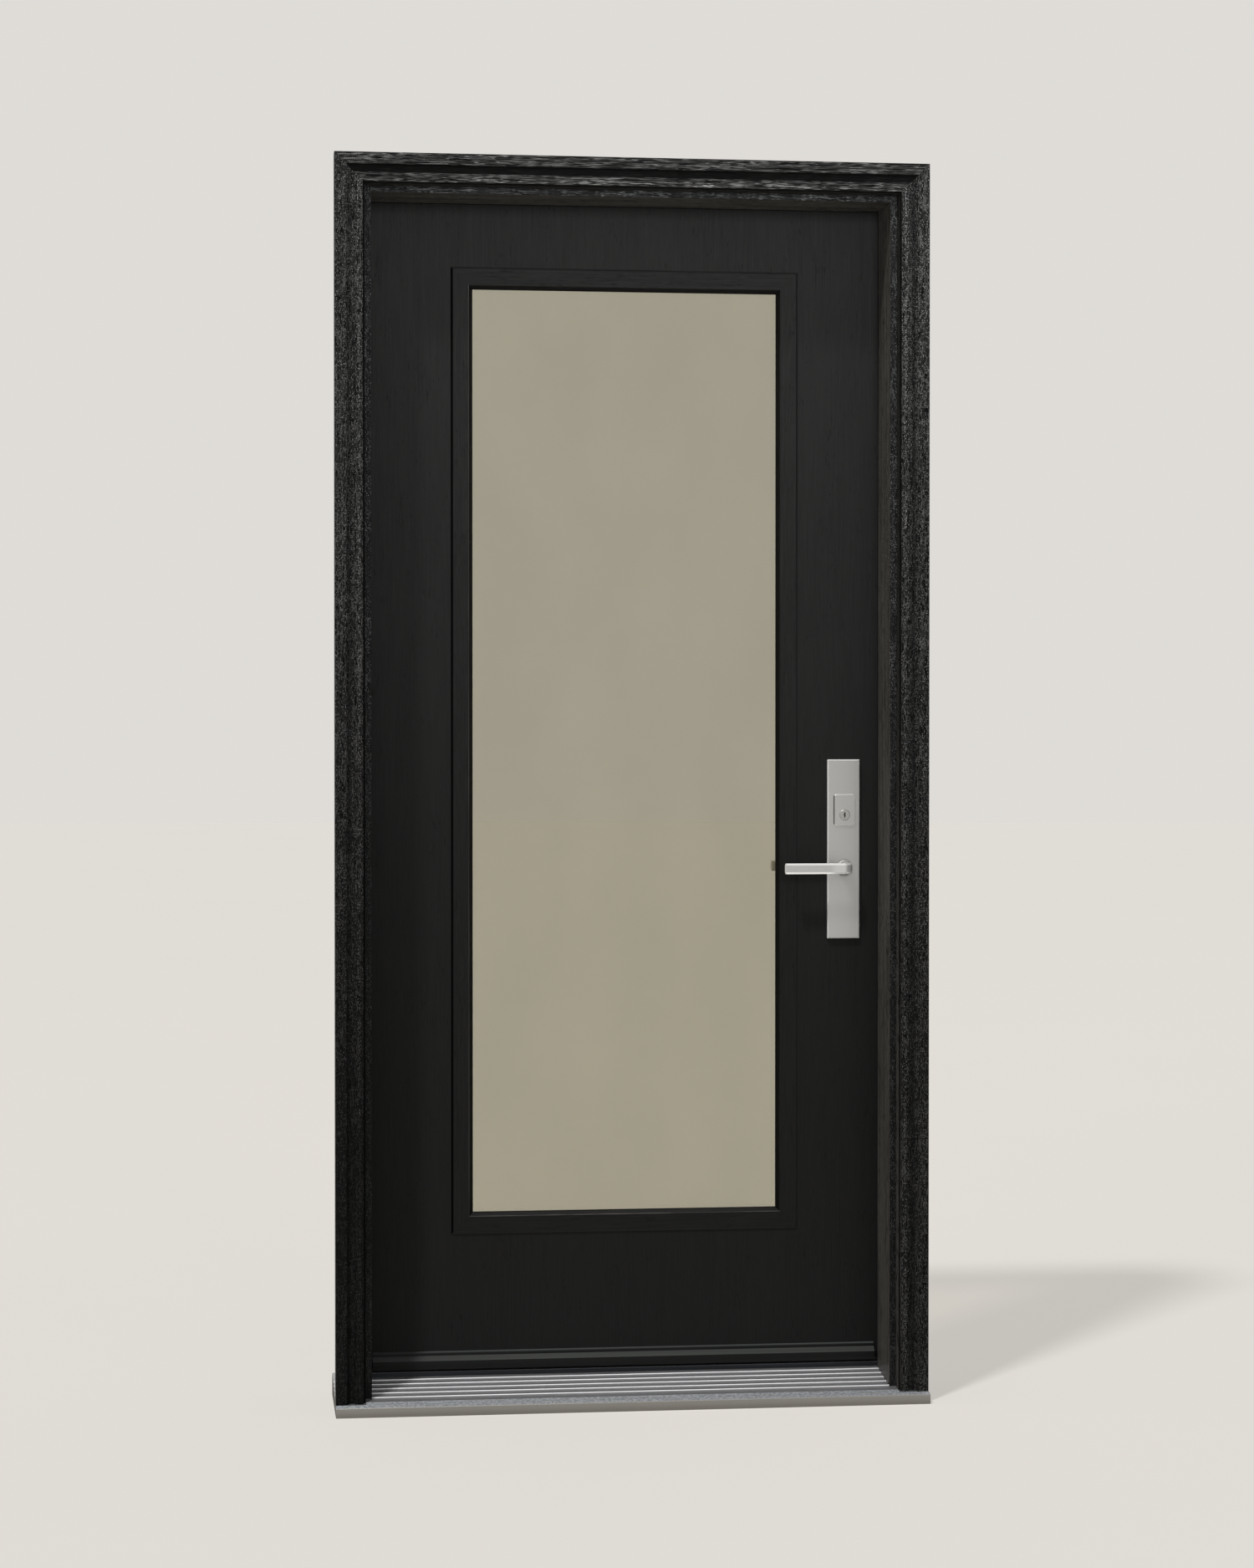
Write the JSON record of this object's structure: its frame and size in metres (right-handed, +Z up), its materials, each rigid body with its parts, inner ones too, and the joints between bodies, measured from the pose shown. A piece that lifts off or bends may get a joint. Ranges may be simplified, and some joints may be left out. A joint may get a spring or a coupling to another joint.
{
  "type": "glass entry door in frame",
  "caption": "Full-light glass entry door, opening inwards, in its black wood-grain frame with moulded casing, ribbed metal sill, hinges, tall lock plates and lever handles.",
  "frame": {"origin": "middle of the doorway's width, on the outer edge plane of the jambs, at the underside of the sill", "axes": "+Z up, +Y from outside to inside the building, +X to the right seen from outside"},
  "size_m": [1.016, 0.2631, 2.1235],
  "materials": {
    "frame_wood": "black stained wood grain, satin",
    "casing_wood": "black stained wood with light open grain, satin",
    "sill_core": "composite board",
    "sill_metal": "mill finish, ribbed",
    "threshold_dark": "dark moulded",
    "seal_rubber": "matt black",
    "hinge_steel": "satin",
    "door_core": "black finished edge",
    "door_skin": "black finish with fine vertical grain, satin",
    "lite_frame": "black moulded frame with fine grain, satin",
    "glass": "clear, faintly warm tint",
    "spacer_metal": "black coated, matt",
    "drip_dark": "dark grey moulded",
    "satin_nickel": "satin nickel",
    "cylinder_metal": "satin"
  },
  "bodies": {
    "frame": {"jamb_hinge_side": "frame_wood", "jamb_latch_side": "frame_wood", "head_jamb": "frame_wood", "brickmould_left": "casing_wood", "brickmould_right": "casing_wood", "brickmould_head": "casing_wood", "sill_substrate": "sill_core", "sill_deck": "sill_metal", "threshold_cap": "threshold_dark", "weatherstrip_left": "seal_rubber", "weatherstrip_right": "seal_rubber", "weatherstrip_head": "seal_rubber", "hinge_top_frame_leaf": "hinge_steel", "hinge_middle_frame_leaf": "hinge_steel", "hinge_bottom_frame_leaf": "hinge_steel", "strike_plates": "hinge_steel"},
    "door": {"stile_hinge": "door_core", "stile_lock": "door_core", "rail_top": "door_core", "rail_bottom": "door_core", "skin_outer": "door_skin", "skin_inner": "door_skin", "lite_frame_outer": "lite_frame", "lite_frame_inner": "lite_frame", "glass_outer": "glass", "glass_inner": "glass", "glass_spacer": "spacer_metal", "drip_rail": "drip_dark", "bottom_sweep": "seal_rubber", "lock_faceplate": "hinge_steel", "lock_bolts": "hinge_steel", "escutcheon_outer": "satin_nickel", "escutcheon_inner": "satin_nickel", "cylinder_housing": "satin_nickel", "key_cylinder": "cylinder_metal", "thumbturn": "satin_nickel", "hinge_top_door_leaf": "hinge_steel", "hinge_middle_door_leaf": "hinge_steel", "hinge_bottom_door_leaf": "hinge_steel"},
    "lever": {"lever_outer": "satin_nickel", "lever_inner": "satin_nickel", "spindle": "hinge_steel"}
  },
  "joints": [
    {"name": "door_swing", "type": "hinge", "parent": "frame", "child": "door", "pos_m": [-0.4565, 0.1653, 1.045], "axis": [0, 0, 1], "range_deg": [0, 110]},
    {"name": "lever_turn", "type": "hinge", "parent": "door", "child": "lever", "pos_m": [0.3856, 0.13655, 0.9144], "axis": [0, -1, 0], "range_deg": [0, 45], "stiffness_Nm_per_rad": 1.5, "springref_deg": -34.38}
  ]
}
